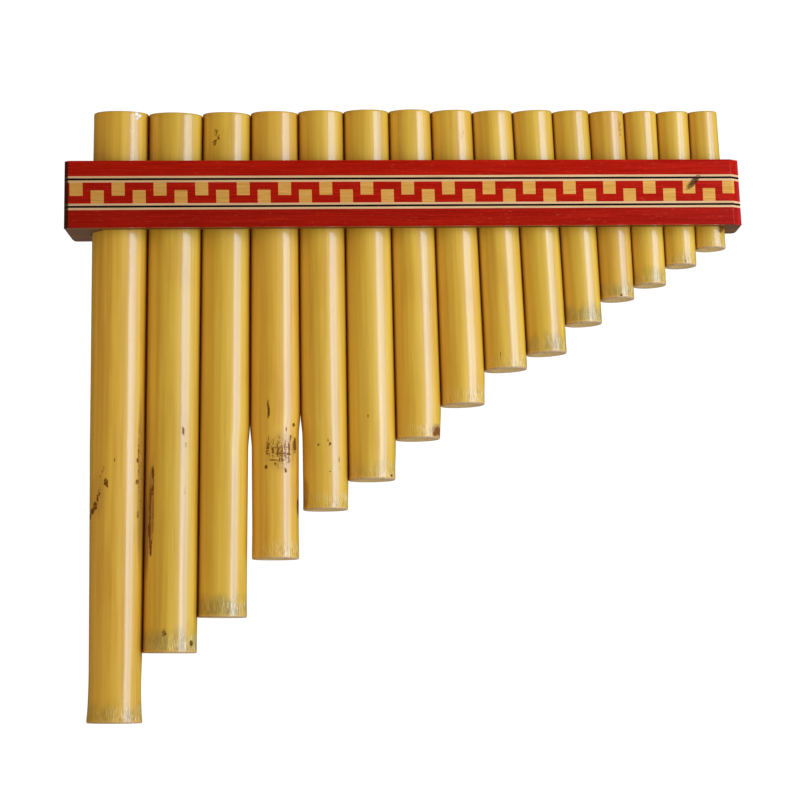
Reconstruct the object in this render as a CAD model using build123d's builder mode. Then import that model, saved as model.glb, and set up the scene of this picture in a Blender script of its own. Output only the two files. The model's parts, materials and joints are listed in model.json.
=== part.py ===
from build123d import *
from collections import namedtuple
from math import cos, radians, sin, sqrt, tan
import os

# Pan flute: fifteen closed bamboo pipes stand in a row and are held between the two boards
# of a wooden collar, whose front carries a thin marquetry skin with a key pattern.
# Units are millimetres. X runs along the collar from the longest pipe to the shortest,
# Y runs from the decorated front to the plain back, and Z points up to the mouths.
# The origin is the centre of the back board's rear face.

# Pipes. Bamboo is a natural tube, so every pipe has its own measures: its length from foot
# to mouth, its outer diameter at the mouth, in the collar and at the foot, how much thinner
# it is just above the foot, its lean (positive when the foot points to the long end), and
# the height of its mouth above the middle of the collar.
Pipe = namedtuple("Pipe", "length mouth collar foot waist lean rise")
PIPES = [
    Pipe(213.5, 19.00, 19.50, 19.20, 1.20, 1.50, 31.4),
    Pipe(189.5, 18.80, 18.70, 18.60, 0.20, 1.65, 30.8),
    Pipe(178.0, 16.90, 17.15, 17.10, 0.20, 1.65, 31.1),
    Pipe(158.5, 16.60, 16.90, 16.50, 0.20, 1.10, 31.4),
    Pipe(142.0, 16.00, 16.25, 15.70, 0.20, 0.65, 31.7),
    Pipe(132.0, 15.90, 16.20, 16.30, 0.20, 0.50, 31.8),
    Pipe(118.0, 14.90, 15.40, 15.20, 0.15, 0.05, 31.9),
    Pipe(106.0, 14.60, 15.10, 14.90, 0.15, -0.75, 31.7),
    Pipe(93.5, 14.20, 14.80, 14.60, 0.15, -1.40, 31.5),
    Pipe(88.0, 14.40, 14.30, 14.25, 0.15, -1.70, 31.5),
    Pipe(77.5, 13.20, 13.40, 13.25, 0.10, -1.70, 31.5),
    Pipe(68.5, 12.70, 12.45, 12.25, 0.10, -1.55, 31.3),
    Pipe(63.5, 12.00, 11.85, 11.90, 0.15, -1.25, 31.3),
    Pipe(56.5, 11.60, 11.50, 11.20, 0.10, -1.05, 31.2),
    Pipe(50.5, 10.50, 11.05, 10.80, 0.10, -1.40, 31.3),
]
FIRST_PIPE_X = -102.7       # centre of the longest pipe, level with the collar's middle
PIPE_GAP = 0.11             # between neighbouring pipes, where the collar holds them
FIT = 0.05                  # glue line between a pipe and a board
BORE_SHARE = 0.82           # bore diameter over mouth diameter
MOUTH_SLOPE = 6.0           # the mouths fall this many degrees towards the front
MOUTH_TRIM = 4.0            # length sawn off above each mouth
LIP_ROUND = 0.6             # rounding of the outer lip
FOOT_ROUND = 0.5            # rounding of the foot's outer edge
WAIST_SHARE = 0.085         # height of the narrowest place over the pipe's length
SHANK_SHARE = 0.45          # height where a long pipe starts to narrow, over its length
SHANK_LENGTH = 110.0        # only pipes longer than this have such a stretch
SHANK_TAPER = 0.25          # part of the narrowing that is done at that height
NODE_SHARE = 0.16           # thickness of the closing node over the collar diameter
DISH_SHARE = 0.10           # depth of the node's dished floor over the collar diameter
HOLLOW_SHARE = 0.72         # radius of the hollow under the foot over the foot's radius
HOLLOW_DEPTH = 0.6          # depth of that hollow
WAX_STEP = 0.3              # the wax stops this far below the straight wall of the bore

# Collar boards.
COLLAR_HEIGHT = 23.6
HALF_LENGTH = 119.45        # from the middle to either end, at the back face
BACK_THICKNESS = 3.5
FRONT_THICKNESS = 3.3
WEDGE = 2.0                 # the front board follows the thinner pipes backwards, degrees
END_SKEW = 4.6              # the ends are sawn out of square in plan, degrees
END_SPLAY = 1.4             # the ends lean with the outer pipes, degrees
BACK_CORNER_ROUND = 1.8     # upright rear corners of the back board
BACK_EDGE_ROUND = 0.6       # long rear edges of the back board
BLOCK_REACH = 0.6           # end blocks start this share of the radius beside the pipe axis
BLOCK_FIT = 0.1             # glue line between an end block and its pipe
BLANK_LENGTH = 260.0        # boards are cut from blanks of this length

# Marquetry skin on the front board: red rail, line, key band, line, red rail.
SKIN = 0.7
UPPER_RAIL = 5.45
LOWER_RAIL = 6.25
THREAD = 0.75               # each line is a pale, a black and a pale thread
KEY_BAND = COLLAR_HEIGHT - UPPER_RAIL - LOWER_RAIL - 6 * THREAD
KEY_PERIOD = 14.45
KEY_WIDTH = 4.5
KEY_HEIGHT = 4.65
UPPER_KEYS = 17
LOWER_KEYS = UPPER_KEYS - 1
BEVEL_RUN = {-1: 1.5, 1: 3.0}       # bevel of the upright front corners, along X
BEVEL_DEPTH = {-1: 1.4, 1: 2.2}     # and along Y, at the long end and at the short end
SKIN_BLANK = 3.5            # deep enough to wrap the larger bevel, and no deeper than the boards

# Levels of the marquetry, from the top down.
TOP = COLLAR_HEIGHT / 2
UPPER_LINE = TOP - UPPER_RAIL
KEY_TOP = UPPER_LINE - 3 * THREAD
KEY_BOTTOM = KEY_TOP - KEY_BAND
LOWER_LINE = KEY_BOTTOM - 3 * THREAD
BOTTOM = -TOP


# ---------------------------------------------------------------- where things stand

def pipe_centres():
    """X of each pipe's axis at the collar's middle: every pipe stands against the next."""
    centres = [FIRST_PIPE_X]
    for pipe, following in zip(PIPES, PIPES[1:]):
        centres.append(centres[-1] + sqrt(pipe.collar * following.collar) + PIPE_GAP)
    return centres


CENTRES = pipe_centres()


def pipe_axis(index):
    """Unit vector from the pipe's foot to its mouth."""
    lean = radians(PIPES[index].lean)
    return Vector(sin(lean), 0, cos(lean))


def pipe_middle(index):
    """Point of the pipe's axis level with the collar's middle."""
    return Vector(CENTRES[index], -(BACK_THICKNESS + FIT + PIPES[index].collar / 2), 0)


def mouth_centre(index):
    pipe = PIPES[index]
    return pipe_middle(index) + pipe_axis(index) * (pipe.rise / cos(radians(pipe.lean)))


def foot_centre(index):
    return mouth_centre(index) - pipe_axis(index) * PIPES[index].length


def section_plane(index):
    """Plane through the pipe's axis: x is the radius and y the height above the foot."""
    lean = radians(PIPES[index].lean)
    return Plane(origin=foot_centre(index), x_dir=(cos(lean), 0, -sin(lean)), z_dir=(0, -1, 0))


def mouth_plane(index):
    """The mouths are levelled on a slope, so the front lip is the lower one."""
    slope = radians(MOUTH_SLOPE)
    normal = pipe_axis(index) * cos(slope) + Vector(0, -sin(slope), 0)
    return Plane(origin=mouth_centre(index), z_dir=normal)


def bore_radius(pipe):
    return BORE_SHARE * pipe.mouth / 2


def floor_heights(pipe):
    """Lowest point and rim of the dished floor inside the pipe, above the foot."""
    low = HOLLOW_DEPTH + NODE_SHARE * pipe.collar
    return low, low + DISH_SHARE * pipe.collar


def wax_top(pipe):
    """Radius of the wax's flat top and its height above the foot."""
    low, rim = floor_heights(pipe)
    dish = rim - low
    curve = (bore_radius(pipe) ** 2 + dish ** 2) / (2 * dish)
    depth = dish - WAX_STEP
    return sqrt(depth * (2 * curve - depth)), low + depth


def outline_points(pipe):
    """Outer radius and height above the foot, from the foot up to above the mouth."""
    waist = (pipe.foot - pipe.waist) / 2
    points = [(pipe.foot / 2, FOOT_ROUND), (waist, WAIST_SHARE * pipe.length)]
    if pipe.length > SHANK_LENGTH:
        shank = pipe.collar / 2 + SHANK_TAPER * (waist - pipe.collar / 2)
        points.append((shank, SHANK_SHARE * pipe.length))
    points.append((pipe.collar / 2, pipe.length - pipe.rise))
    points.append((pipe.mouth / 2, pipe.length + MOUTH_TRIM))
    return points


def front_y(x, behind):
    """Y of the front board's plane at x, a distance behind the skin's face."""
    nearest = BACK_THICKNESS + 2 * FIT + PIPES[0].collar
    board_back = -nearest + tan(radians(WEDGE)) * (x - CENTRES[0])
    return board_back - (FRONT_THICKNESS + SKIN - behind) / cos(radians(WEDGE))


def end_x(side, y):
    """X of the collar's end at depth y, level with the collar's middle."""
    return side * HALF_LENGTH + tan(radians(END_SKEW)) * y


def front_corner(side):
    """Where the skin's face would meet the end of the collar."""
    skew = tan(radians(END_SKEW))
    wedge = tan(radians(WEDGE))
    x = (side * HALF_LENGTH + skew * front_y(0, 0)) / (1 - skew * wedge)
    return Vector(x, front_y(x, 0), 0)


def end_edge(side):
    """Direction of the collar's upright corners."""
    splay = radians(END_SPLAY)
    return Vector(-side * sin(splay), 0, cos(splay))


def end_plane(side):
    """Plane of the collar's end, facing outwards."""
    skew = radians(END_SKEW)
    rearwards = Vector(sin(skew), cos(skew), 0)
    return Plane(origin=(side * HALF_LENGTH, 0, 0), z_dir=rearwards.cross(end_edge(side)) * side)


def bevel_plane(side):
    """Plane of the bevelled front corner, facing outwards."""
    corner = front_corner(side)
    on_face_x = corner.X - side * BEVEL_RUN[side]
    on_face = Vector(on_face_x, front_y(on_face_x, 0), 0)
    on_end_y = corner.Y + BEVEL_DEPTH[side]
    on_end = Vector(end_x(side, on_end_y), on_end_y, 0)
    return Plane(origin=on_face, z_dir=(on_end - on_face).cross(end_edge(side)) * side)


def face_plane():
    """Front face of the skin: x along the collar, y up, centred between its two ends."""
    middle = (front_corner(-1).X + front_corner(1).X) / 2
    wedge = radians(WEDGE)
    return Plane(
        origin=(middle, front_y(middle, 0), 0),
        x_dir=(cos(wedge), sin(wedge), 0),
        z_dir=(sin(wedge), -cos(wedge), 0),
    )


# ---------------------------------------------------------------- pipes

def make_pipe(index):
    """Bamboo tube closed below by its natural node, with a dished floor inside."""
    pipe = PIPES[index]
    bore = bore_radius(pipe)
    low, rim = floor_heights(pipe)
    top = pipe.length + MOUTH_TRIM
    hollow = HOLLOW_SHARE * pipe.foot / 2
    with BuildPart() as tube:
        with BuildSketch(section_plane(index)):
            with BuildLine():
                Polyline(outline_points(pipe))
                Line((pipe.mouth / 2, top), (bore, top))
                Line((bore, top), (bore, rim))
                TangentArc((0, low), (bore, rim), tangent=(1, 0))
                Line((0, low), (0, HOLLOW_DEPTH))
                TangentArc((0, HOLLOW_DEPTH), (hollow, 0), tangent=(1, 0))
                Line((hollow, 0), (pipe.foot / 2 - FOOT_ROUND, 0))
                TangentArc((pipe.foot / 2 - FOOT_ROUND, 0), (pipe.foot / 2, FOOT_ROUND), tangent=(1, 0))
            make_face()
        axis = Axis(foot_centre(index), pipe_axis(index))
        revolve(axis=axis)
        split(bisect_by=mouth_plane(index), keep=Keep.BOTTOM)
        lip = tube.faces().sort_by(axis)[-1]
        fillet(lip.edges().sort_by(SortBy.LENGTH)[-1], LIP_ROUND)
    return tube


def make_tuning_wax(index):
    """Beeswax in the dished floor, which sets the length of the air column."""
    pipe = PIPES[index]
    low, _ = floor_heights(pipe)
    radius, top = wax_top(pipe)
    with BuildPart() as wax:
        with BuildSketch(section_plane(index)):
            with BuildLine():
                TangentArc((0, low), (radius, top), tangent=(1, 0))
                Line((radius, top), (0, top))
                Line((0, top), (0, low))
            make_face()
        revolve(axis=Axis(foot_centre(index), pipe_axis(index)))
    return wax


# ---------------------------------------------------------------- collar boards

def make_back_board():
    """Plain board that the backs of all the pipes are glued to."""
    with BuildPart() as board:
        with BuildSketch(Plane.XZ):
            Rectangle(BLANK_LENGTH, COLLAR_HEIGHT)
        extrude(amount=BACK_THICKNESS)
        for side in (-1, 1):
            split(bisect_by=end_plane(side), keep=Keep.BOTTOM)
        rear = board.edges().group_by(Axis.Y)[-1]
        fillet(rear.sort_by(SortBy.LENGTH)[:2], BACK_CORNER_ROUND)
        rear = board.faces().sort_by(Axis.Y)[-1]
        fillet(rear.edges().filter_by(Axis.X), BACK_EDGE_ROUND)
    return board


def make_front_board():
    """Board across the fronts of the pipes, with bevelled upright corners."""
    with BuildPart() as board:
        with BuildSketch(face_plane().offset(-SKIN)):
            Rectangle(BLANK_LENGTH, COLLAR_HEIGHT)
        extrude(amount=-FRONT_THICKNESS)
        for side in (-1, 1):
            split(bisect_by=end_plane(side), keep=Keep.BOTTOM)
            split(bisect_by=bevel_plane(side).offset(-SKIN), keep=Keep.BOTTOM)
    return board


def make_end_block(side, index):
    """Block between the two boards beyond an outer pipe, scooped out to fit it."""
    pipe = PIPES[index]
    start = CENTRES[index] + side * BLOCK_REACH * pipe.collar / 2
    stop = side * BLANK_LENGTH / 2
    behind = SKIN + FRONT_THICKNESS
    with BuildPart() as block:
        with BuildSketch(Plane.XY.offset(BOTTOM)):
            with BuildLine():
                Polyline(
                    (start, -BACK_THICKNESS),
                    (stop, -BACK_THICKNESS),
                    (stop, front_y(stop, behind)),
                    (start, front_y(start, behind)),
                    close=True,
                )
            make_face()
        extrude(amount=COLLAR_HEIGHT)
        split(bisect_by=end_plane(side), keep=Keep.BOTTOM)
        with BuildSketch(Plane(origin=pipe_middle(index), z_dir=pipe_axis(index))):
            Circle(pipe.collar / 2 + BLOCK_FIT)
        extrude(amount=COLLAR_HEIGHT, both=True, mode=Mode.SUBTRACT)
    return block


# ---------------------------------------------------------------- marquetry skin

def skin_strip(board, *levels):
    """Strips of the skin between pairs of levels, wrapped over both bevels."""
    face = face_plane()
    with BuildPart() as strip:
        for high, low in levels:
            with BuildSketch(face):
                with Locations((0, (high + low) / 2)):
                    Rectangle(BLANK_LENGTH, high - low)
            extrude(amount=-SKIN_BLANK)
        for side in (-1, 1):
            split(bisect_by=end_plane(side), keep=Keep.BOTTOM)
            split(bisect_by=bevel_plane(side), keep=Keep.BOTTOM)
        add(board.part, mode=Mode.SUBTRACT)
    return strip


def key_places(count, level):
    """Centres of one row of square keys, evenly spaced about the middle of the face."""
    first = -(count - 1) / 2 * KEY_PERIOD
    return [(first + number * KEY_PERIOD, level) for number in range(count)]


UPPER_KEY_LEVEL = KEY_TOP - KEY_HEIGHT / 2
LOWER_KEY_LEVEL = KEY_BOTTOM + KEY_HEIGHT / 2


def make_key_path(board):
    """Red meander: the key band without the pale squares."""
    places = key_places(UPPER_KEYS, UPPER_KEY_LEVEL) + key_places(LOWER_KEYS, LOWER_KEY_LEVEL)
    with BuildPart() as path:
        add(skin_strip(board, (KEY_TOP, KEY_BOTTOM)).part)
        with BuildSketch(face_plane()):
            with Locations(places):
                Rectangle(KEY_WIDTH, KEY_HEIGHT)
        extrude(amount=-SKIN_BLANK, mode=Mode.SUBTRACT)
    return path


def make_keys(board, count, level):
    """One row of pale squares, a separate piece of wood for each."""
    with BuildPart() as keys:
        add(skin_strip(board, (KEY_TOP, KEY_BOTTOM)).part)
        with BuildSketch(face_plane()):
            with Locations(key_places(count, level)):
                Rectangle(KEY_WIDTH, KEY_HEIGHT)
        extrude(amount=-SKIN_BLANK, mode=Mode.INTERSECT)
    return keys


def line_levels(top):
    """Levels of the pale and the black threads of one line that starts at this level."""
    steps = [top - number * THREAD for number in range(4)]
    pale = [(steps[0], steps[1]), (steps[2], steps[3])]
    black = [(steps[1], steps[2])]
    return pale, black


# ---------------------------------------------------------------- all the pieces

def save(piece, label):
    piece.part.label = label
    export_step(piece.part, f"parts/{label}.step")


def main():
    os.makedirs("parts", exist_ok=True)
    for index in range(len(PIPES)):
        save(make_pipe(index), f"pipe_{index + 1:02d}")
        save(make_tuning_wax(index), f"tuning_wax_{index + 1:02d}")

    front_board = make_front_board()
    save(make_back_board(), "back_board")
    save(front_board, "front_board")
    save(make_end_block(-1, 0), "end_block_long")
    save(make_end_block(1, len(PIPES) - 1), "end_block_short")

    save(skin_strip(front_board, (TOP, UPPER_LINE)), "red_rail_upper")
    save(skin_strip(front_board, (LOWER_LINE, BOTTOM)), "red_rail_lower")
    for name, level in (("upper", UPPER_LINE), ("lower", KEY_BOTTOM)):
        pale, black = line_levels(level)
        save(skin_strip(front_board, *pale), f"pale_threads_{name}")
        save(skin_strip(front_board, *black), f"black_thread_{name}")
    save(make_key_path(front_board), "key_path")
    save(make_keys(front_board, UPPER_KEYS, UPPER_KEY_LEVEL), "keys_upper")
    save(make_keys(front_board, LOWER_KEYS, LOWER_KEY_LEVEL), "keys_lower")


main()
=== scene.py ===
import json
import random
from math import cos, pi, radians, sin, tan

import bmesh
import bpy
from mathutils import Matrix, Vector


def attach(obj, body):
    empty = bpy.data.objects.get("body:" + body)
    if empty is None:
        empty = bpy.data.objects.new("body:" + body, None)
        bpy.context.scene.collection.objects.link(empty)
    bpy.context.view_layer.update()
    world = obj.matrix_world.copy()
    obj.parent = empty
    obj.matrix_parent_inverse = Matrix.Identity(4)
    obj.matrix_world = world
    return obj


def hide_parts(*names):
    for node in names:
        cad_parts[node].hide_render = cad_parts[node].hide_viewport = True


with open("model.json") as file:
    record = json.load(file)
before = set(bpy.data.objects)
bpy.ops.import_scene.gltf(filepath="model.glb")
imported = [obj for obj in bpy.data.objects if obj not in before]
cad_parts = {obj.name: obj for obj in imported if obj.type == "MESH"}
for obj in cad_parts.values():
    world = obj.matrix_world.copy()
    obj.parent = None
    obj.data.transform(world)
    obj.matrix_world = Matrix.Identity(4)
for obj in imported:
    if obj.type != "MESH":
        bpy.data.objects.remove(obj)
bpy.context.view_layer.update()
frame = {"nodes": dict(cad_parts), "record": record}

MM = 0.001
NODES = frame["nodes"]
MOUNTS = {mount["name"]: mount for mount in frame["record"]["mounts"]}
PIPE_COUNT = 15

# ---------------------------------------------------------------- camera, light and backdrop

CAMERA_PLACE = (-0.07908, -0.85095, -0.16361)
HEADING, PITCH, ROLL = radians(5.0), radians(6.2155), radians(1.59)
LENS, FILM_WIDTH = 108, 36
NEAREST, FARTHEST = 0.05, 50


def make_camera():
    data = bpy.data.cameras.new("camera")
    data.lens, data.sensor_width = LENS, FILM_WIDTH
    data.clip_start, data.clip_end = NEAREST, FARTHEST
    camera = bpy.data.objects.new("camera", data)
    turn = (
        Matrix.Rotation(-HEADING, 4, "Z")
        @ Matrix.Rotation(pi / 2 + PITCH, 4, "X")
        @ Matrix.Rotation(-ROLL, 4, "Z")
    )
    camera.matrix_world = Matrix.Translation(CAMERA_PLACE) @ turn
    bpy.context.scene.collection.objects.link(camera)
    bpy.context.scene.camera = camera


def soft_box(name, place, aim, width, height, power, colour):
    data = bpy.data.lights.new(name, "AREA")
    data.shape, data.size, data.size_y = "RECTANGLE", width, height
    data.energy, data.color = power, colour
    lamp = bpy.data.objects.new(name, data)
    lamp.location = place
    lamp.rotation_euler = (Vector(aim) - Vector(place)).to_track_quat("-Z", "Y").to_euler()
    bpy.context.scene.collection.objects.link(lamp)


FILL, REFLECTED_ROOM, PAPER = 0.46, 0.025, 1.05
FILL_COLOUR, KEY_COLOUR = (1.0, 0.785, 0.57), (0.82, 1.09, 1.66)
# The key is two strips side by side, the near one brighter: name, place, width in m, power in W.
KEYS = (
    ("key_near", (0.516, -0.572, 0.01), 0.22, 2.19),
    ("key_far", (0.666, -0.372, 0.01), 0.28, 1.74),
)
KEY_HEIGHT = 0.62
KEY_AIM = (0, -0.01, -0.04)


def make_light():
    scene = bpy.context.scene
    scene.view_settings.view_transform = "Standard"
    world = bpy.data.worlds.new("studio")
    scene.world = world
    world.use_nodes = True
    tree = world.node_tree
    tree.nodes.clear()
    out = tree.nodes.new("ShaderNodeOutputWorld")
    path = tree.nodes.new("ShaderNodeLightPath")

    def glow(colour, strength):
        node = tree.nodes.new("ShaderNodeBackground")
        node.inputs["Color"].default_value = (*colour, 1)
        node.inputs["Strength"].default_value = strength
        return node.outputs[0]

    def choose(ray, first, second):
        """second where the ray is of the named kind, else first."""
        node = tree.nodes.new("ShaderNodeMixShader")
        tree.links.new(path.outputs[ray], node.inputs["Fac"])
        tree.links.new(first, node.inputs[1])
        tree.links.new(second, node.inputs[2])
        return node.outputs[0]

    # White paper behind the object, an even fill, and a dim room in the lacquer's reflections.
    room = choose("Is Glossy Ray", glow(FILL_COLOUR, FILL), glow(FILL_COLOUR, REFLECTED_ROOM))
    tree.links.new(choose("Is Camera Ray", room, glow((1, 1, 1), PAPER)), out.inputs["Surface"])
    for name, place, width, power in KEYS:
        soft_box(name, place, KEY_AIM, width, KEY_HEIGHT, power, KEY_COLOUR)


make_camera()
make_light()


# ---------------------------------------------------------------- material building

class Shader:
    """Node tree of one material, with short calls for the nodes used here."""

    def __init__(self, name):
        self.material = bpy.data.materials.new(name)
        self.material.use_nodes = True
        self.tree = self.material.node_tree
        self.surface = self.tree.nodes["Principled BSDF"]
        self.column = 0

    def node(self, kind):
        made = self.tree.nodes.new("ShaderNode" + kind)
        self.column += 1
        made.location = (-180 * self.column, 120 * (self.column % 5))
        return made

    def put(self, socket, value):
        """Links a socket, or sets its own value where a plain number or colour is given."""
        if hasattr(value, "is_output"):
            self.tree.links.new(value, socket)
        elif isinstance(value, tuple) and len(value) == 3 and socket.type == "RGBA":
            socket.default_value = (*value, 1)
        else:
            socket.default_value = value

    def object_mm(self):
        """The piece's own coordinates, in millimetres."""
        return self.vector("SCALE", self.node("TexCoord").outputs["Object"], scale=1 / MM)

    def vector(self, kind, first, second=None, scale=None, dot=False):
        node = self.node("VectorMath")
        node.operation = kind
        self.put(node.inputs[0], first)
        if second is not None:
            self.put(node.inputs[1], second)
        if scale is not None:
            node.inputs["Scale"].default_value = scale
        return node.outputs["Value" if dot else "Vector"]

    def parts(self, vector):
        node = self.node("SeparateXYZ")
        self.put(node.inputs[0], vector)
        return node.outputs[0], node.outputs[1], node.outputs[2]

    def math(self, kind, first, second=0.0, third=0.0):
        node = self.node("Math")
        node.operation = kind
        for socket, value in zip(node.inputs, (first, second, third)):
            self.put(socket, value)
        return node.outputs[0]

    def own(self, name, kind="GEOMETRY", output="Fac"):
        """A value that the mesh's points hold, or that the object holds as a property."""
        node = self.node("Attribute")
        node.attribute_name, node.attribute_type = name, kind
        return node.outputs[output]

    def noise(self, vector, scale=1.0, detail=2.0, roughness=0.5):
        node = self.node("TexNoise")
        self.put(node.inputs["Vector"], vector)
        for name, value in (("Scale", scale), ("Detail", detail), ("Roughness", roughness)):
            node.inputs[name].default_value = value
        return node.outputs["Fac"]

    def cells(self, vector, scale):
        """Distance to the nearest of scattered points."""
        node = self.node("TexVoronoi")
        self.put(node.inputs["Vector"], vector)
        node.inputs["Scale"].default_value = scale
        return node.outputs["Distance"]

    def step(self, value, low, high, to_low=0.0, to_high=1.0):
        """Smooth step of value from low to high."""
        node = self.node("MapRange")
        node.interpolation_type = "SMOOTHSTEP"
        for socket, given in zip(node.inputs, (value, low, high, to_low, to_high)):
            self.put(socket, given)
        return node.outputs[0]

    def ramp(self, value, *stops):
        node = self.node("ValToRGB")
        band = node.color_ramp
        while len(band.elements) < len(stops):
            band.elements.new(0.5)
        for element, (place, colour) in zip(band.elements, stops):
            element.position, element.color = place, (*colour, 1)
        self.put(node.inputs[0], value)
        return node.outputs[0]

    def mix(self, share, first, second, kind="MIX"):
        # The node's colour sockets come after its number and vector sockets.
        node = self.node("Mix")
        node.data_type, node.blend_type = "RGBA", kind
        self.put(node.inputs["Factor"], share)
        self.put(node.inputs[6], first)
        self.put(node.inputs[7], second)
        return node.outputs[2]

    def bump(self, height, distance):
        """Shading relief, distance metres deep where height goes from 0 to 1."""
        node = self.node("Bump")
        node.inputs["Distance"].default_value = distance
        self.put(node.inputs["Height"], height)
        return node.outputs[0]

    def finish(self, **values):
        for name, value in values.items():
            self.put(self.surface.inputs[name.replace("_", " ")], value)
        return self.material


def srgb(red, green, blue):
    def linear(level):
        share = level / 255
        return share / 12.92 if share <= 0.04045 else ((share + 0.055) / 1.055) ** 2.4
    return linear(red), linear(green), linear(blue)


# ---------------------------------------------------------------- bamboo

# Places in the materials are in millimetres, so a noise's scale is its features per millimetre.
SEED_SPREAD = 61.0


def bamboo_skin():
    """Lacquered outer skin: long fibres, soft bands of tone, a greyish foot and stray marks."""
    s = Shader("bamboo_skin")
    place = s.object_mm()
    # Each pipe reads its patterns from its own place in space.
    seed = s.own("seed", "OBJECT", "Vector")
    shifted = s.vector("ADD", place, s.vector("SCALE", seed, scale=SEED_SPREAD))
    across, _, height = s.parts(place)
    fine = s.noise(s.vector("MULTIPLY", shifted, (2.6, 2.6, 0.055)), detail=3, roughness=0.6)
    strand = s.noise(s.vector("MULTIPLY", shifted, (0.55, 0.55, 0.012)), detail=2)
    mottle = s.noise(s.vector("MULTIPLY", shifted, (0.12, 0.12, 0.035)), detail=2)
    hair = s.noise(s.vector("MULTIPLY", shifted, (6.0, 6.0, 0.16)), detail=2, roughness=0.7)
    base = s.ramp(strand, (0.30, (0.76, 0.40, 0.010)), (0.5, (0.86, 0.49, 0.018)),
                  (0.70, (0.94, 0.57, 0.032)))
    base = s.mix(s.step(mottle, 0.35, 0.75, 0.0, 0.35), base, (0.88, 0.54, 0.040))
    base = s.mix(s.step(mottle, 0.46, 0.30, 0.0, 0.30), base, (0.74, 0.36, 0.012))
    base = s.mix(s.step(fine, 0.52, 0.78, 0.0, 0.36), base, (0.97, 0.66, 0.08))
    base = s.mix(s.step(fine, 0.47, 0.22, 0.0, 0.30), base, (0.64, 0.31, 0.009))
    base = s.mix(1.0, base, s.own("tone", "OBJECT", "Color"), "MULTIPLY")
    # Foot end: olive patches above the node, warm at the rim, and cracked along the fibres. The
    # cracks are painted stronger on the right of the front, where the key light falls, and their pale
    # strokes are partly painted glints.
    crack = s.noise(s.vector("MULTIPLY", shifted, (3.9, 3.9, 0.26)), detail=3, roughness=0.7)
    patch = s.noise(s.vector("MULTIPLY", shifted, (0.28, 0.28, 0.12)), detail=3)
    ragged = s.math("MULTIPLY_ADD", s.math("SUBTRACT", patch, 0.5), 7.0, s.own("foot", "OBJECT"))
    torn = s.math("MULTIPLY_ADD", s.math("SUBTRACT", crack, 0.5), 5.0, ragged)
    foot = s.step(height, s.math("ADD", torn, 0.9), s.math("ADD", torn, -2.0))
    # Painted light: crack colours are stronger on the right of the front, where the key highlight
    # shows them.
    foot = s.math("MULTIPLY", foot, s.step(across, -2.5, 2.6, 0.35, 1.0))
    green = s.math("MULTIPLY", s.step(patch, 0.28, 0.56), s.own("grey", "OBJECT"))
    olive = s.step(height, s.math("ADD", ragged, 3.2), s.math("ADD", ragged, -2.6))
    base = s.mix(s.math("MULTIPLY", olive, green), base, (0.52, 0.33, 0.026))
    split = s.math("MULTIPLY", foot, s.step(crack, 0.47, 0.39, 0.0, 0.66))
    base = s.mix(split, base, (0.34, 0.13, 0.008))
    # Pale crack strokes: frayed fibre, partly a painted glint of the key light.
    frayed_glint = s.math("MULTIPLY", foot, s.step(crack, 0.53, 0.60, 0.0, 0.80))
    base = s.mix(frayed_glint, base, (1.0, 0.84, 0.36))
    base = s.mix(s.step(height, 1.3, 0.6, 0.0, 0.75), base, (0.86, 0.50, 0.060))
    # Marks: solid where the mask is strong, broken into upright and level strokes where it is
    # weak, and painted pale glints of light where it is negative.
    mark = s.own("mark")
    upright = s.noise(s.vector("MULTIPLY", shifted, (2.2, 2.2, 0.55)), detail=4, roughness=0.7)
    level = s.noise(s.vector("MULTIPLY", shifted, (0.55, 0.55, 2.6)), detail=3, roughness=0.7)
    speck = s.math("MAXIMUM", upright, s.math("SUBTRACT", level, 0.02))
    limit = s.math("MULTIPLY_ADD", mark, -0.30, 0.79)
    dark = s.step(speck, limit, s.math("ADD", limit, 0.07))
    base = s.mix(s.math("MULTIPLY", dark, 0.90), base, (0.120, 0.028, 0.0005))
    # Painted glints: pale specks where the mark is negative, near the mouth of pipe 1.
    pale = s.step(mark, -0.2, -0.8)
    base = s.mix(s.math("MULTIPLY", pale, s.step(speck, 0.42, 0.50)), base, (1.0, 0.97, 0.85))
    # Painted shade in the creases between the pipes, partly dirt and glue, and brown stains.
    seam_shade = s.own("seam_shade")
    base = s.mix(s.math("MULTIPLY", seam_shade, 0.66), base, (0.33, 0.048, 0.002))
    stain = s.math("MULTIPLY", s.own("stain"), s.step(fine, 0.30, 0.62, 0.55, 1.0))
    base = s.mix(stain, base, (0.30, 0.095, 0.018))
    # Fine pale scratches along the pipe.
    scratch = s.step(hair, 0.70, 0.78)
    base = s.mix(s.math("MULTIPLY", scratch, 0.35), base, (0.98, 0.78, 0.36))
    rough = s.step(fine, 0.2, 0.8, 0.50, 0.62)
    rough = s.math("ADD", rough, s.math("MULTIPLY", foot, 0.06))
    relief = s.math("ADD", s.math("MULTIPLY", fine, 0.7), s.math("MULTIPLY", hair, 0.3))
    relief = s.math("ADD", relief, s.math("MULTIPLY", foot, s.math("MULTIPLY", crack, 3.0)))
    normal = s.bump(relief, 0.00003)
    # The lacquer is dull over the marks.
    gloss = s.math("MULTIPLY_ADD", dark, -0.80, 0.85)
    return s.finish(
        Base_Color=base, Roughness=rough, Normal=normal, Coat_Weight=gloss, Coat_Roughness=0.138,
        Coat_IOR=1.5, Specular_IOR_Level=gloss, Specular_Tint=(0.72, 0.88, 1.0),
    )


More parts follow.
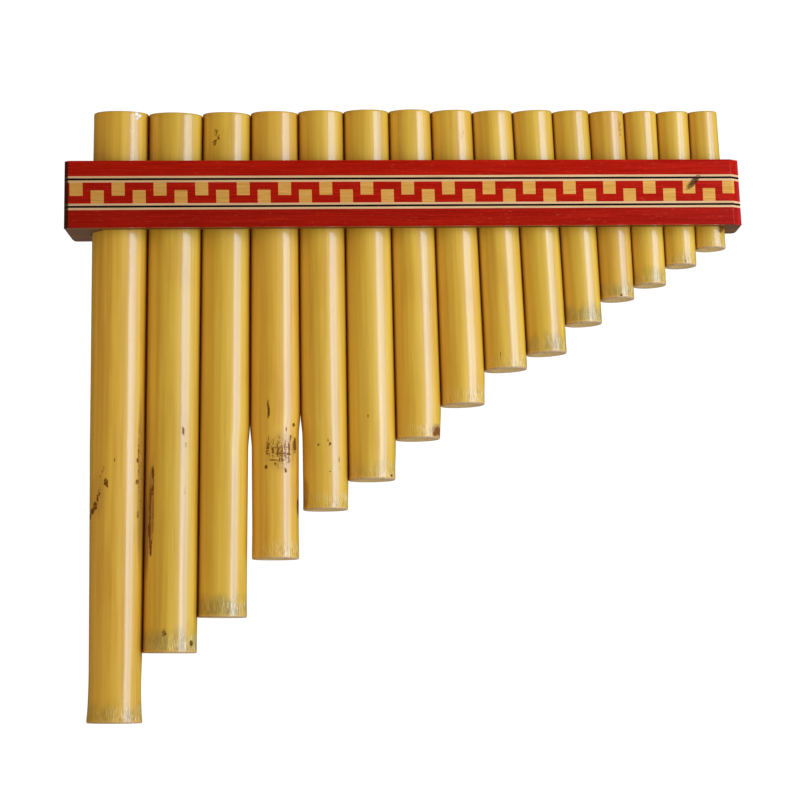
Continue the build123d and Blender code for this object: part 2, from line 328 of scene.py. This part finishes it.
def bamboo_cut():
    """Sawn end grain: pale with dark fibre ends."""
    s = Shader("bamboo_cut")
    place = s.object_mm()
    spread = s.vector("MULTIPLY", place, (1.0, 1.0, 0.25))
    pores = s.cells(spread, scale=2.6)
    soft = s.noise(spread, scale=1.3, detail=3)
    base = s.ramp(soft, (0.3, srgb(176, 140, 92)), (0.7, srgb(214, 184, 134)))
    base = s.mix(s.step(pores, 0.28, 0.12, 0.0, 0.7), base, srgb(120, 84, 44))
    return s.finish(Base_Color=base, Roughness=s.step(soft, 0.3, 0.7, 0.55, 0.75),
                    Normal=s.bump(pores, 0.00004))


def bamboo_inside():
    """Bare inner wall and node: straw colour with brownish streaks, matt."""
    s = Shader("bamboo_inside")
    place = s.object_mm()
    streak = s.noise(s.vector("MULTIPLY", place, (1.5, 1.5, 0.05)), detail=3)
    spot = s.noise(place, scale=0.6, detail=3)
    base = s.ramp(streak, (0.3, srgb(168, 130, 78)), (0.7, srgb(216, 190, 142)))
    base = s.mix(s.step(spot, 0.55, 0.75, 0.0, 0.5), base, srgb(140, 100, 58))
    return s.finish(Base_Color=base, Roughness=s.step(spot, 0.3, 0.7, 0.6, 0.8),
                    Normal=s.bump(streak, 0.00006))


def bamboo_node():
    """Underside of the closing node: pale pith with rings of growth."""
    s = Shader("bamboo_node")
    place = s.object_mm()
    x, y, _ = s.parts(place)
    radius = s.math("SQRT", s.math("ADD", s.math("MULTIPLY", x, x), s.math("MULTIPLY", y, y)))
    grain = s.noise(place, scale=1.2, detail=4, roughness=0.65)
    rings = s.math("SINE", s.math("MULTIPLY_ADD", radius, 3.4, s.math("MULTIPLY", grain, 5.0)))
    base = s.ramp(grain, (0.3, srgb(196, 160, 88)), (0.7, srgb(234, 204, 132)))
    base = s.mix(s.step(rings, 0.2, 1.0, 0.0, 0.22), base, srgb(160, 126, 84))
    return s.finish(Base_Color=base, Roughness=s.step(grain, 0.3, 0.7, 0.6, 0.8),
                    Normal=s.bump(rings, 0.00008))


def wax():
    s = Shader("beeswax")
    place = s.object_mm()
    cloud = s.noise(place, scale=0.45, detail=3)
    base = s.ramp(cloud, (0.3, srgb(186, 128, 48)), (0.7, srgb(214, 164, 80)))
    return s.finish(Base_Color=base, Roughness=s.step(cloud, 0.3, 0.7, 0.35, 0.55),
                    Subsurface_Weight=0.2, Normal=s.bump(cloud, 0.0001))


# ---------------------------------------------------------------- turned pipes

SIDES, WAX_SIDES = 96, 48
LIP_EDGE, INNER_EDGE = 0.6 * MM, 0.25 * MM
FOOT_EDGE = 0.5 * MM
HOLLOW_SHARE, HOLLOW_DEPTH = 0.72, 0.6 * MM
MOUTH_SLOPE = tan(radians(5.7))
SLOPE_REACH = 14 * MM
SAWN_DEPTH = 5 * MM
WALL_STEPS = 8
# Rings up the wall: a fine step near the foot and the mouth, and a coarse step between.
FINE_STEP, COARSE_STEP = 1.0 * MM, 2.4 * MM
FINE_AT_FOOT, FINE_AT_MOUTH = 22 * MM, 16 * MM
BELOW_LIP, RING_APART = 2.2 * MM, 0.2 * MM
# The flare is sought in this share of the length, and eased where it is deep enough.
FLARE_SHARE, FLARE_CURVE, FLARE_LEAST = 0.3, 2.2, 0.01 * MM
# The wax stops this far below the straight wall of the bore.
WAX_STEP = 0.3 * MM
# The rays that find a pipe's radius start this far behind its axis.
OUTSIDE = 50 * MM
# A pipe's material slots.
ON_SKIN, ON_CUT, ON_INSIDE, ON_NODE = range(4)

# For each pipe: colour tint, olive greyness of the foot end, and that band's height in mm.
CHARACTER = [
    ((1.01, 0.98, 1.00), 0.55, 5.4),
    ((0.98, 1.00, 0.95), 0.85, 6.6),
    ((1.00, 1.02, 1.00), 0.95, 6.0),
    ((1.00, 0.94, 0.86), 0.00, 5.4),
    ((1.01, 1.01, 1.00), 0.15, 5.6),
    ((1.01, 1.02, 1.02), 0.25, 5.2),
    ((1.02, 1.02, 1.03), 0.00, 4.6),
    ((1.03, 1.02, 1.03), 0.00, 6.0),
    ((1.01, 1.01, 1.04), 0.10, 4.2),
    ((0.99, 1.00, 0.92), 0.75, 5.2),
    ((0.97, 0.97, 0.85), 0.85, 5.2),
    ((0.95, 0.90, 0.80), 0.85, 4.8),
    ((0.99, 0.99, 0.90), 0.75, 4.4),
    ((0.99, 0.98, 0.92), 0.35, 4.2),
    ((0.98, 0.98, 1.00), 0.10, 3.0),
]

SKIN, CUT, INSIDE, NODE = bamboo_skin(), bamboo_cut(), bamboo_inside(), bamboo_node()
WAX = wax()


def link(name, mesh, slots):
    for material in slots:
        mesh.materials.append(material)
    piece = bpy.data.objects.new(name, mesh)
    bpy.context.scene.collection.objects.link(piece)
    return piece


def turned(name, rings, centres, slots):
    """Closed turned mesh. rings: lists of points; centres: the two end points;
    slots: material number of the band that follows each ring."""
    mesh = bmesh.new()
    loops = [[mesh.verts.new(point) for point in ring] for ring in rings]
    first, last = (mesh.verts.new(point) for point in centres)
    count = len(loops[0])
    for number in range(count):
        other = (number + 1) % count
        for lower, upper, slot in zip(loops, loops[1:], slots[1:]):
            face = mesh.faces.new((lower[number], lower[other], upper[other], upper[number]))
            face.material_index = slot
        mesh.faces.new((first, loops[0][other], loops[0][number])).material_index = slots[0]
        mesh.faces.new((last, loops[-1][number], loops[-1][other])).material_index = slots[-1]
    for face in mesh.faces:
        face.smooth = True
    bmesh.ops.recalc_face_normals(mesh, faces=mesh.faces)
    data = bpy.data.meshes.new(name)
    mesh.to_mesh(data)
    mesh.free()
    return data


class Pipe:
    """Where one pipe of the frame stands, and its outer radius along its length."""

    def __init__(self, number):
        self.name = f"pipe_{number:02d}"
        mount = MOUNTS[f"mouth_{number:02d}"]
        self.axis = Vector(mount["axis"])
        self.bore = mount["dims"]["r_mm"] * MM
        mouth = Vector(mount["pos_m"]) + self.axis * (mount["dims"]["length_mm"] * MM / 2)
        self.length = self.reach(self.name, mouth, -1)
        self.foot = mouth - self.axis * self.length
        self.wax = self.reach(f"tuning_wax_{number:02d}", self.foot, 1)
        self.low = -self.reach(f"tuning_wax_{number:02d}", self.foot, -1)
        self.rim = self.wax + WAX_STEP
        right = Vector((self.axis.z, 0, -self.axis.x))
        turn = Matrix((right, Vector((0, 1, 0)), self.axis)).transposed().to_4x4()
        self.matrix = Matrix.Translation(self.foot) @ turn
        self.wall = outer_curve(self, number)

    def reach(self, node, start, way):
        """How far the node's mesh goes from start along the axis, or back along it."""
        corners = (vertex.co for vertex in NODES[node].data.vertices)
        return max(way * (corner - start).dot(self.axis) for corner in corners)

    def radius(self, height):
        """Outer radius of the CAD pipe at a height above its foot."""
        start = self.foot + self.axis * height + Vector((0, OUTSIDE, 0))
        _, place, _, _ = NODES[self.name].ray_cast(start, Vector((0, -1, 0)))
        return (place - self.foot).y


SEED_STEPS = (1.0, 1.7, 2.3)
# Waves around the skin: how many, and their depth in mm. They die out where pipes touch, and
# they are half as deep from HELD_BAND below the mouth upwards. DRIFT is in radians per metre.
WAVES = ((2, 0.070), (3, 0.035), (5, 0.015))
DRIFT = 9
HELD_BAND, HELD_RUN = 45 * MM, 12 * MM
TOUCH_POWER = 6
# Neighbouring pipes swell until they press together, except where a gap opens towards the feet:
# number of the pipe on the left of the gap, and how high above the shorter foot it ends, in mm.
OPENINGS = {3: 41.6, 4: 28.8}
OPENINGS_LEAD, OPENING_RUN, FADE_RUN, SEAM_RUN = 3.0, 9.0, 14.0, 1.5
PRESSED = 0.02 * MM
# The painted crease shade and dirt start where the skin has turned this far towards the neighbour.
SEAM_START = 0.90
# The feet stop this far above the CAD feet, so that the swollen skin stays in the CAD box.
FOOT_RISE = 0.03 * MM


def clamp(value):
    return max(0.0, min(1.0, value))


def ease(value):
    value = clamp(value)
    return value * value * (3 - 2 * value)


def arc(steps):
    """Angles from just above zero to just below a quarter turn, and both ends."""
    return [pi / 2 * step / steps for step in range(steps + 1)]


def outer_curve(pipe, number):
    """Heights and outer radii up the wall; the flare over the foot is eased into a curve."""
    top = pipe.length - LIP_EDGE
    heights = [FOOT_EDGE]
    while heights[-1] < top - BELOW_LIP:
        near = heights[-1] < FINE_AT_FOOT or heights[-1] > top - FINE_AT_MOUTH
        heights.append(heights[-1] + (FINE_STEP if near else COARSE_STEP))
    heights.append(top)
    for extra in (height * MM for height in marked_heights(number)):
        apart = all(abs(extra - height) > RING_APART for height in heights)
        if apart and FOOT_EDGE < extra < top:
            heights.append(extra)
    heights.sort()
    radii = [pipe.radius(height) for height in heights]
    foot = radii[0]
    lower = FLARE_SHARE * pipe.length
    low = min(radius for height, radius in zip(heights, radii) if height < lower)
    if foot - low > FLARE_LEAST:
        for ring in range(1, radii.index(low)):
            share = (radii[ring] - low) / (foot - low)
            radii[ring] = low + (foot - low) * share ** FLARE_CURVE
    return list(zip(heights, radii))


def pipe_rings(pipe):
    """(radius, height, how much the skin's waves count, material of the band above) for each ring."""
    wall = pipe.wall
    foot, lip = wall[0][1], wall[-1][1]
    hollow = HOLLOW_SHARE * foot
    rings = [
        (hollow * share, HOLLOW_DEPTH * (1 - share ** 2), 0, ON_NODE)
        for share in (0.12, 0.3, 0.5, 0.7, 0.88)
    ]
    rings.append((hollow, 0.0, 0, ON_CUT))
    rings.append(((hollow + foot) / 2, 0.0, 0.2, ON_CUT))
    rings += [
        (foot - FOOT_EDGE * (1 - sin(turn)), FOOT_EDGE * (1 - cos(turn)), 1, ON_CUT)
        for turn in arc(5)[:-1]
    ]
    rings += [(radius, height, 1, ON_SKIN) for height, radius in wall]
    rings += [
        (lip - LIP_EDGE * (1 - cos(turn)), pipe.length - LIP_EDGE * (1 - sin(turn)),
         1 - turn / 2, ON_SKIN)
        for turn in arc(6)[1:]
    ]
    rings.append(((lip - LIP_EDGE + pipe.bore + INNER_EDGE) / 2, pipe.length, 0.1, ON_CUT))
    rings += [
        (pipe.bore + INNER_EDGE * (1 - sin(turn)), pipe.length - INNER_EDGE * (1 - cos(turn)),
         0, ON_CUT)
        for turn in arc(3)
    ]
    sawn = pipe.length - SAWN_DEPTH
    rings.append((pipe.bore, sawn, 0, ON_INSIDE))
    for step in range(1, WALL_STEPS):
        share = step / WALL_STEPS
        rings.append((pipe.bore, sawn * (1 - share) + pipe.rim * share, 0, ON_INSIDE))
    rings.append((pipe.bore, pipe.rim, 0, ON_INSIDE))
    dish = pipe.rim - pipe.low
    for share in (0.85, 0.6, 0.3):
        rings.append((pipe.bore * share, pipe.low + dish * share ** 2, 0, ON_INSIDE))
    return rings


def closing(number, way, radius, height):
    """How much of the gap on one side of a pipe, way -1 or 1, is closed at a height above its foot,
    and how strongly the painted crease shade, partly dirt, between the two pipes shows there, from 0
    to 1."""
    pipe, other = PIPES[number], PIPES.get(number + way)
    if other is None:
        return 0.0, 0.0
    centre = pipe.foot + pipe.axis * height
    along = (centre - other.foot).dot(other.axis)
    beside = min(max(along, 0.0), other.length)
    centre += pipe.axis * (beside - along)
    apart = (centre - other.foot - other.axis * beside).length
    nearest = min(other.wall, key=lambda ring: abs(ring[0] - beside))
    gap = max(0.0, apart - radius - nearest[1])
    end = OPENINGS.get(min(number, number + way))
    if end is None:
        joined = ease(1 + along / (FADE_RUN * MM))
    else:
        joined = ease((min(height, along) / MM - end + OPENINGS_LEAD) / OPENING_RUN)
    return (gap + PRESSED) * joined, joined * ease(1 + along / (SEAM_RUN * MM))


def make_pipe(number):
    pipe = PIPES[number]
    tone, grey, foot_height = CHARACTER[number - 1]
    draw = random.Random(number)
    waves = [
        (count, depth * MM * draw.uniform(0.7, 1.2), draw.uniform(0, 2 * pi),
         draw.uniform(-DRIFT, DRIFT))
        for count, depth in WAVES
    ]
    band = pipe.length - HELD_BAND
    rings, slots, seam_shades = [], [ON_NODE], []
    for radius, height, share, slot in pipe_rings(pipe):
        ring = []
        slope = ease((height - (pipe.length - SLOPE_REACH)) / SLOPE_REACH)
        held = 0.5 + 0.5 * ease((band - height) / HELD_RUN)
        right, right_seam = closing(number, 1, radius, height)
        left, left_seam = closing(number, -1, radius, height)
        shift = (right - left) / 4
        for side in range(SIDES):
            angle = 2 * pi * side / SIDES
            free = 1 - cos(angle) ** TOUCH_POWER
            grow = share * (right + left) / 4
            joined = right_seam if cos(angle) > 0 else left_seam
            turned_to = (abs(cos(angle)) - SEAM_START) / (1 - SEAM_START)
            seam_shades.append(share * joined * ease(turned_to))
            for count, depth, phase, drift in waves:
                grow += share * free * held * depth * cos(count * angle + phase + drift * height)
            reach = radius + grow
            x, y = reach * cos(angle), reach * sin(angle)
            rise = radius * sin(angle) * MOUTH_SLOPE * slope
            ring.append((x + shift, y, max(height, FOOT_RISE) + rise))
        rings.append(ring)
        slots.append(slot)
    centres = ((0, 0, HOLLOW_DEPTH), (0, 0, pipe.low))
    mesh = turned(pipe.name, rings, centres, slots)
    piece = link(f"bamboo_{number:02d}", mesh, (SKIN, CUT, INSIDE, NODE))
    piece.matrix_world = pipe.matrix
    piece["tone"] = tone
    piece["seed"] = [number * step for step in SEED_STEPS]
    piece["grey"] = grey
    piece["foot"] = foot_height
    paint(piece, number)
    # Strength of the painted crease shade, partly dirt, at each point of the skin.
    seam_shade = mesh.attributes.new("seam_shade", "FLOAT", "POINT")
    for item, level in zip(seam_shade.data, seam_shades):
        item.value = level
    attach(piece, "root")
    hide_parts(pipe.name)


# Dark marks on the front of the skin, and brown stains, for each pipe: x, height above the
# foot, half width and half height in mm, and strength. A negative mark is a painted pale glint.
MARKS = {
    1: (
        (5.6, 212, 0.6, 0.8, -1), (6.7, 211.4, 0.5, 0.6, -1), (5.8, 210.4, 0.4, 0.6, -1),
        (-0.6, 90.1, 0.5, 0.8, 1.2), (-4.6, 87.2, 0.6, 1.6, 1.0), (-5.6, 85.0, 0.6, 1.2, 0.9),
        (-3.6, 82.4, 0.9, 1.8, 1.25), (-2.9, 81.0, 0.5, 0.7, 1.2), (-5.7, 79.4, 0.6, 2.0, 1.1),
        (-6.4, 76.8, 0.7, 2.0, 1.15), (-7.2, 74.4, 0.9, 1.8, 1.25), (-8.2, 72.6, 0.9, 1.3, 1.3),
        (-9.0, 70.8, 0.5, 1.1, 1.3), (7.6, 92, 0.45, 15, 1.0), (8.3, 84, 0.35, 24, 0.9),
        (7.0, 82.7, 0.6, 1.0, 1.3), (7.2, 90.3, 0.5, 1.2, 1.3), (7.3, 71.5, 0.5, 1.6, 1.2),
    ),
    2: (
        (-6.2, 52.0, 0.34, 14, 1.30), (-7.3, 47.0, 0.34, 15, 1.35), (-6.5, 62, 0.6, 2.4, 1.5),
        (-6.3, 56, 0.5, 3.2, 1.4), (-6.9, 36, 0.5, 3.4, 1.35), (-7.5, 42, 0.5, 3.4, 1.3),
        (0.5, 170, 1.2, 4, 0.5), (7.4, 3.4, 0.7, 1.4, 1.3), (-2, 6.8, 0.9, 1.6, 1.2),
        (3.9, 76.4, 0.5, 2.2, 1.1), (4.9, 71.4, 0.4, 2.0, 0.9), (4.6, 56.0, 0.35, 1.6, 0.9),
    ),
    3: ((-3.9, 170, 0.9, 1.8, 1.02), (-2.9, 168, 0.7, 1.2, 1.05), (-4.3, 166.4, 1.0, 1.44, 1.08)),
    4: (
        (-2.7, 51.7, 0.6, 4.0, 1.35), (1.8, 37.2, 5.8, 7.0, 0.80), (-2.9, 38.4, 0.40, 5.0, 1.22),
        (-1.2, 36.4, 0.40, 3.0, 1.12), (0.5, 38.2, 0.42, 4.2, 1.15), (1.9, 36.2, 0.42, 4.4, 1.22),
        (3.2, 38.0, 0.42, 4.0, 1.18), (4.6, 37.0, 0.42, 4.6, 1.22), (0.8, 38.6, 4.6, 0.32, 1.12),
        (1.2, 36.4, 5.2, 0.32, 1.15), (0.6, 34.2, 4.4, 0.30, 1.08),
        (6.2, 46.6, 0.6, 0.9, 1.5), (3.6, 45, 0.5, 0.9, 1.3), (6.6, 39.6, 0.7, 3.2, 1.3),
        (5, 42, 0.5, 1.6, 1.3), (7.8, 18.3, 0.6, 3.0, 1.3),
        (-3.4, 31.8, 0.84, 0.96, 1.2), (3.2, 30.6, 0.6, 1.4, 1.2),
    ),
    5: (
        (-2.6, 22.4, 0.45, 0.8, 1.1), (0.8, 24, 0.5, 0.9, 1.15), (1.4, 22.7, 0.55, 1.0, 1.3),
        (1.3, 13.2, 0.5, 0.7, 1.1), (4.6, 17.2, 0.45, 1.5, 1.1), (4.9, 14.3, 0.4, 0.7, 1.1),
    ),
    6: ((-1.8, 22, 0.54, 0.7, 1.2), (6.4, 1.3, 0.72, 0.6, 1.35)),
    7: ((6.4, 2.6, 1.25, 1.5, 2.1), (5.2, 1.4, 0.84, 0.96, 1.4)),
    8: ((3, 97, 1, 3, 0.7),),
    9: ((-2.6, 4.4, 0.42, 1.68, 1.2),),
    12: ((0.4, 0.9, 0.7, 0.8, 1.2), (4, 62, 0.9, 4, 0.9)),
    14: ((0.8, 1.2, 0.42, 1.56, 1.25),),
    15: ((3.6, 7.4, 1.2, 1.56, 1.4), (3, 6.2, 0.84, 0.96, 1.25)),
}
STAINS = {
    1: ((8.0, 84, 0.9, 30.0, 0.62), (-6.4, 78, 2.4, 8.0, 0.16)),
    2: ((-7.0, 50.0, 1.1, 15.0, 0.72), (-8.4, 40.0, 0.9, 14.0, 0.65)),
    4: ((1.6, 37.0, 5.8, 7.0, 0.22), (7.9, 18.0, 0.7, 3.5, 0.6)),
    5: ((-7.2, 6.0, 1.2, 5.0, 0.55),),
    7: ((6.2, 2.6, 2.2, 2.4, 0.75),),
    15: ((3.2, 7.0, 1.6, 1.8, 0.6),),
}
# A mark ends where the squared distance, in half sizes, passes MARK_END. Extra rings every
# MARK_STEP mm go a little past it, and no further than MARK_REACH mm from its middle.
MARK_END, MARK_MARGIN = 1.4, 1.2
MARK_STEP, MARK_REACH = 0.45, 6.0


def marked_heights(number):
    """Extra heights of rings, in mm, so that small marks keep their shape."""
    heights = set()
    for _, height, _, high, _ in MARKS.get(number, ()):
        steps = int(min(high, MARK_REACH) * MARK_MARGIN / MARK_STEP) + 1
        heights.update(round(height + step * MARK_STEP, 2) for step in range(-steps, steps + 1))
    return sorted(heights)


def paint(piece, number):
    """Writes how strongly each point of the skin is marked and stained."""
    for name, spots in (("mark", MARKS), ("stain", STAINS)):
        mask = piece.data.attributes.new(name, "FLOAT", "POINT")
        for vertex, item in zip(piece.data.vertices, mask.data):
            x, y, z = (value / MM for value in vertex.co)
            level = 0.0
            if y < 0:
                for spot_x, spot_z, wide, high, strength in spots.get(number, ()):
                    away = ((x - spot_x) / wide) ** 2 + ((z - spot_z) / high) ** 2
                    level = max(level, strength * ease(MARK_END - away), key=abs)
            item.value = level


# Section of the wax: share of its radius, and height over its flat top in mm. It is a little
# narrower than the bore, and its lowest point stands WAX_LIFT over the floor.
WAX_SHARE, WAX_LIFT = 0.93, 0.1 * MM
WAX_SECTION = (
    (0.3, 0.0), (0.6, 0.0), (0.8, 0.02), (0.9, 0.06), (1.0, 0.16), (0.85, -0.15), (0.5, -0.6),
)


def make_wax(number):
    """Poured wax: a flat pool with a raised rim where it wets the wall."""
    pipe = PIPES[number]
    reach = pipe.bore * WAX_SHARE
    turns = [2 * pi * side / WAX_SIDES for side in range(WAX_SIDES)]
    rings = [
        [(share * reach * cos(turn), share * reach * sin(turn), pipe.wax + rise * MM)
         for turn in turns]
        for share, rise in WAX_SECTION
    ]
    centres = ((0, 0, pipe.wax), (0, 0, pipe.low + WAX_LIFT))
    mesh = turned(f"wax_{number:02d}", rings, centres, [0] * (len(rings) + 1))
    piece = link(f"wax_{number:02d}", mesh, (WAX,))
    piece.matrix_world = pipe.matrix
    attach(piece, "root")
    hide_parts(f"tuning_wax_{number:02d}")


PIPES = {number: Pipe(number) for number in range(1, PIPE_COUNT + 1)}
for number in PIPES:
    make_pipe(number)
    make_wax(number)


# ---------------------------------------------------------------- collar

# Ends of the painted shade, and where the left bevel's painted shade and wear and the right
# bevel's painted sheen begin and are full: X in mm.
SHADED, LEFT_BEVEL, RIGHT_BEVEL = (-125.0, 60.0), (-119.9, -120.5), (116.7, 117.1)
# Middle of the smudge, and its half length and half width, in mm.
SMUDGE, SMUDGE_LONG, SMUDGE_WIDE = (100.9, -20.0, 3.6), 3.9, 1.25


def veneer(name, dark, light, streak, gloss, along=0.035, painted_shade=0.0, bevel_sheen=0.0):
    """Lacquered veneer: fine grain along the collar, pale nicks, dark pores and one smudge.
    along is the grain's scale along X. The shade argument paints shade over the left end, and the
    sheen argument paints the key light's pinkish sheen on the right bevel."""
    s = Shader(name)
    place = s.object_mm()
    grain = s.noise(s.vector("MULTIPLY", place, (along, 1.0, 2.4)), detail=4, roughness=0.6)
    wide = s.noise(s.vector("MULTIPLY", place, (0.012, 0.3, 0.35)), detail=2)
    base = s.ramp(grain, (0.36, dark), (0.64, light))
    base = s.mix(s.step(wide, 0.35, 0.70, 0.0, 0.5), base, dark)
    line = s.noise(s.vector("MULTIPLY", place, (0.055, 1.0, 5.0)), detail=2, roughness=0.6)
    base = s.mix(s.step(line, 0.50, 0.30, 0.0, 0.45), base, tuple(0.55 * level for level in dark))
    nick = s.noise(s.vector("MULTIPLY", place, (0.36, 1.0, 4.6)), detail=3, roughness=0.7)
    base = s.mix(s.step(nick, 0.63, 0.70, 0.0, 0.7), base, streak)
    pore = s.noise(s.vector("MULTIPLY", place, (0.25, 1.0, 6.0)), detail=2)
    base = s.mix(s.step(pore, 0.32, 0.24, 0.0, 0.5), base, tuple(0.4 * level for level in dark))
    # Painted shade darkens the left end, the left bevel is painted dark as shade and wear together,
    # and the right bevel gets a painted pinkish sheen of the key light.
    x, _, _ = s.parts(place)
    base = s.mix(s.step(x, *SHADED, painted_shade, 0.0), base, (0, 0, 0))
    base = s.mix(s.step(x, *LEFT_BEVEL, 0.0, 0.90), base, (0.035, 0.012, 0.004))
    # Painted sheen: the right bevel is tinted pinkish where the key light strikes it.
    base = s.mix(s.step(x, *RIGHT_BEVEL, 0.0, bevel_sheen), base, (0.58, 0.022, 0.036))
    # One charred smudge, from a key square up across the threads.
    off = s.vector("SUBTRACT", place, SMUDGE)
    along_it = s.vector("DOT_PRODUCT", off, (0.71, 0.0, 0.71), dot=True)
    across_it = s.vector("DOT_PRODUCT", off, (0.71, 0.0, -0.71), dot=True)
    away = s.math("ADD", s.math("POWER", s.math("DIVIDE", along_it, SMUDGE_LONG), 2.0),
                  s.math("POWER", s.math("DIVIDE", across_it, SMUDGE_WIDE), 2.0))
    char = s.noise(s.vector("MULTIPLY", place, (2.2, 2.2, 3.4)), detail=3, roughness=0.7)
    smudge = s.step(s.math("ADD", away, s.math("MULTIPLY", char, 4.0)), 3.0, 2.3)
    base = s.mix(s.math("MULTIPLY", smudge, 0.92), base, (0.045, 0.012, 0.002))
    return s.finish(
        Base_Color=base, Roughness=s.step(grain, 0.2, 0.8, 0.16, 0.24), Normal=s.bump(grain, 0.00003),
        Coat_Weight=gloss, Coat_Roughness=0.08, Coat_IOR=1.5, Specular_IOR_Level=0.2,
    )


def bare_wood():
    """Oiled wood of the boards: brown, with growth lines along the collar."""
    s = Shader("collar_wood")
    place = s.object_mm()
    bend = s.noise(s.vector("MULTIPLY", place, (0.010, 0.045, 0.045)), detail=2)
    lines = s.math("MULTIPLY_ADD", bend, 34.0, s.math("MULTIPLY", s.parts(place)[2], 1.1))
    ring = s.math("MULTIPLY_ADD", s.math("SINE", lines), 0.5, 0.5)
    fibre = s.noise(s.vector("MULTIPLY", place, (0.06, 2.2, 2.2)), detail=4, roughness=0.65)
    base = s.ramp(ring, (0.0, srgb(104, 64, 24)), (1.0, srgb(134, 86, 36)))
    base = s.mix(s.step(fibre, 0.35, 0.65, 0.35, 0.0), base, srgb(72, 42, 14))
    pore = s.noise(s.vector("MULTIPLY", place, (0.18, 4.0, 4.0)), detail=2)
    base = s.mix(s.step(pore, 0.66, 0.74, 0.0, 0.6), base, srgb(52, 30, 10))
    relief = s.math("ADD", fibre, s.math("MULTIPLY", ring, 0.3))
    return s.finish(Base_Color=base, Roughness=s.step(fibre, 0.2, 0.8, 0.42, 0.62),
                    Normal=s.bump(relief, 0.00008), Specular_IOR_Level=0.15)


RED_DARK, RED_LIGHT = (0.44, 0.0050, 0.0008), (0.62, 0.0120, 0.0014)
RED_LOW_DARK, RED_LOW_LIGHT = (0.37, 0.0055, 0.0014), (0.54, 0.0120, 0.0022)
# Strength of the painted shade over the collar's left end.
PAINTED_SHADE = 0.20
# Colour of the pale nicks, and strength of the painted pinkish sheen on the right bevel.
RED_NICK, PINKISH_SHEEN = (0.74, 0.12, 0.055), 0.5
RED = veneer("red_veneer", RED_DARK, RED_LIGHT, RED_NICK, 0.7, painted_shade=PAINTED_SHADE, bevel_sheen=PINKISH_SHEEN)
RED_LOW = veneer("red_veneer_low", RED_LOW_DARK, RED_LOW_LIGHT, RED_NICK, 0.7, painted_shade=PAINTED_SHADE,
                 bevel_sheen=PINKISH_SHEEN)
KEY_WOOD = veneer("key_veneer", (0.78, 0.36, 0.055), (0.92, 0.50, 0.11), (0.96, 0.68, 0.28),
                  0.6, 0.09, PAINTED_SHADE)
THREAD_WOOD = veneer("thread_veneer", (0.84, 0.50, 0.22), (0.94, 0.62, 0.30), (1.0, 0.75, 0.48),
                     0.6, 0.05, PAINTED_SHADE)
BLACK = veneer("black_veneer", (0.004, 0.003, 0.003), (0.010, 0.008, 0.006),
               (0.05, 0.035, 0.02), 0.7)
BOARD = bare_wood()

COLLAR = {
    "red_rail_upper": (RED, "red_wood"),
    "red_rail_lower": (RED_LOW, "red_wood"),
    "key_path": (RED, "red_wood"),
    "keys_upper": (KEY_WOOD, "pale_wood"),
    "keys_lower": (KEY_WOOD, "pale_wood"),
    "pale_threads_upper": (THREAD_WOOD, "thread_wood"),
    "pale_threads_lower": (THREAD_WOOD, "thread_wood"),
    "black_thread_upper": (BLACK, "black_wood"),
    "black_thread_lower": (BLACK, "black_wood"),
    "back_board": (BOARD, "collar_wood"),
    "front_board": (BOARD, "collar_wood"),
    "end_block_long": (BOARD, "collar_wood"),
    "end_block_short": (BOARD, "collar_wood"),
}
# Pieces with worn edges, and the width of the wear. Edges that fold by more than FOLD are worn.
WORN = {
    "red_rail_upper": 0.05 * MM,
    "red_rail_lower": 0.05 * MM,
    "back_board": 0.35 * MM,
    "front_board": 0.25 * MM,
    "end_block_long": 0.25 * MM,
    "end_block_short": 0.25 * MM,
}
FOLD, FLAT, WELD = radians(25), radians(1.5), 0.002 * MM


def worn(node, width, material):
    """The CAD node's shape with its sharp edges worn round."""
    work = bmesh.new()
    work.from_mesh(NODES[node].data)
    bmesh.ops.remove_doubles(work, verts=work.verts, dist=WELD)
    bmesh.ops.dissolve_limit(work, angle_limit=FLAT, verts=work.verts, edges=work.edges)
    sharp = [edge for edge in work.edges
             if len(edge.link_faces) == 2 and edge.calc_face_angle() > FOLD]
    bmesh.ops.bevel(work, geom=sharp, offset=width, segments=3, profile=0.5, affect="EDGES",
                    clamp_overlap=True)
    for face in work.faces:
        face.smooth = True
    mesh = bpy.data.meshes.new(node + "_worn")
    work.to_mesh(mesh)
    work.free()
    piece = link(node + "_worn", mesh, (material,))
    weighted = piece.modifiers.new("normals", "WEIGHTED_NORMAL")
    weighted.keep_sharp = False
    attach(piece, "root")
    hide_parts(node)


for node, (material, slot) in COLLAR.items():
    if node in WORN:
        worn(node, WORN[node], material)
    else:
        mesh = NODES[node].data
        mesh.materials.clear()
        mesh.materials.append(material)


# ---------------------------------------------------------------- studio floor

FLOOR_SIZE, FLOOR_HEIGHT = 6.0, -1.6


def make_floor():
    s = Shader("floor_paper")
    place = s.node("TexCoord").outputs["Object"]
    cloud = s.noise(place, scale=3.0, detail=2)
    paper = s.finish(Base_Color=s.ramp(cloud, (0.3, (0.78, 0.86, 0.94)), (0.7, (0.80, 0.88, 0.96))),
                     Roughness=0.8, Emission_Color=(0.9, 0.97, 1.0), Emission_Strength=0.30)
    work = bmesh.new()
    bmesh.ops.create_grid(work, x_segments=8, y_segments=8, size=FLOOR_SIZE)
    mesh = bpy.data.meshes.new("floor")
    work.to_mesh(mesh)
    work.free()
    floor = link("floor", mesh, (paper,))
    floor.location = (0, 0, FLOOR_HEIGHT)


make_floor()
